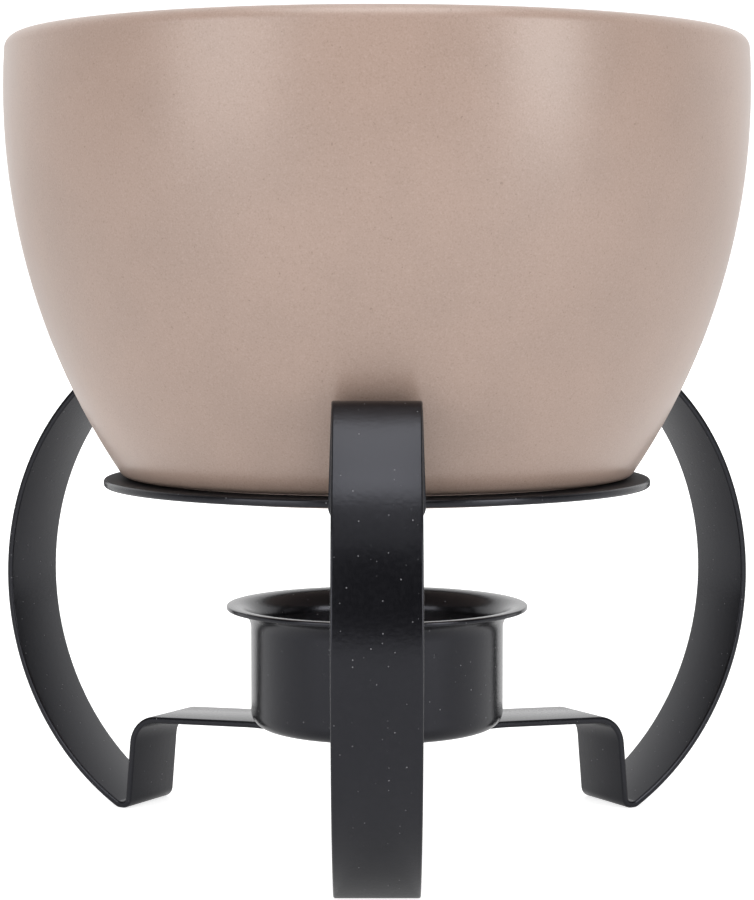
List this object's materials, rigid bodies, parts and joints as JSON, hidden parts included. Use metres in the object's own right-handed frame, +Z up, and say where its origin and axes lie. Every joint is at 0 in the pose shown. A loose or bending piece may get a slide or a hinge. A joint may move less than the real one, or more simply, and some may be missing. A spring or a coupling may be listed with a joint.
{
  "type": "fondue pot set",
  "caption": "Deep ceramic bowl with a foot ring, lifted by a ring on bent strip steel legs, over a flanged burner cup that holds a tealight.",
  "frame": {"origin": "middle of the bounding box, on the surface that the legs stand on; the bowl's vertical axis is 6 mm behind it", "axes": "+Z up, -Y towards the front leg, +X to the right seen from the front"},
  "size_m": [0.1402, 0.142, 0.1402],
  "materials": {
    "taupe_glaze": "satin taupe glaze with a fine speckle, bare pale clay under the foot",
    "black_steel": "satin black powder coat",
    "aluminium_case": "bright pressed foil",
    "wax": "white paraffin wax",
    "cotton_wick": "waxed braided cotton",
    "tinned_steel": "tinned sheet"
  },
  "bodies": {
    "stand": {"leg_front": "black_steel", "leg_rear_left": "black_steel", "leg_rear_right": "black_steel", "support_ring": "black_steel", "burner_cup": "black_steel", "ring_weld_front": "black_steel", "ring_weld_rear_left": "black_steel", "ring_weld_rear_right": "black_steel"},
    "bowl": {"bowl": "taupe_glaze"},
    "tealight": {"tealight_case": "aluminium_case", "tealight_wax": "wax", "tealight_wick": "cotton_wick", "wick_sustainer": "tinned_steel"}
  },
  "joints": [
    {"name": "bowl_lift", "type": "slide", "parent": "stand", "child": "bowl", "axis": [0, 0, 1], "range_m": [0, 0.06]},
    {"name": "tealight_lift", "type": "slide", "parent": "stand", "child": "tealight", "axis": [0, 0, 1], "range_m": [0, 0.02]}
  ]
}
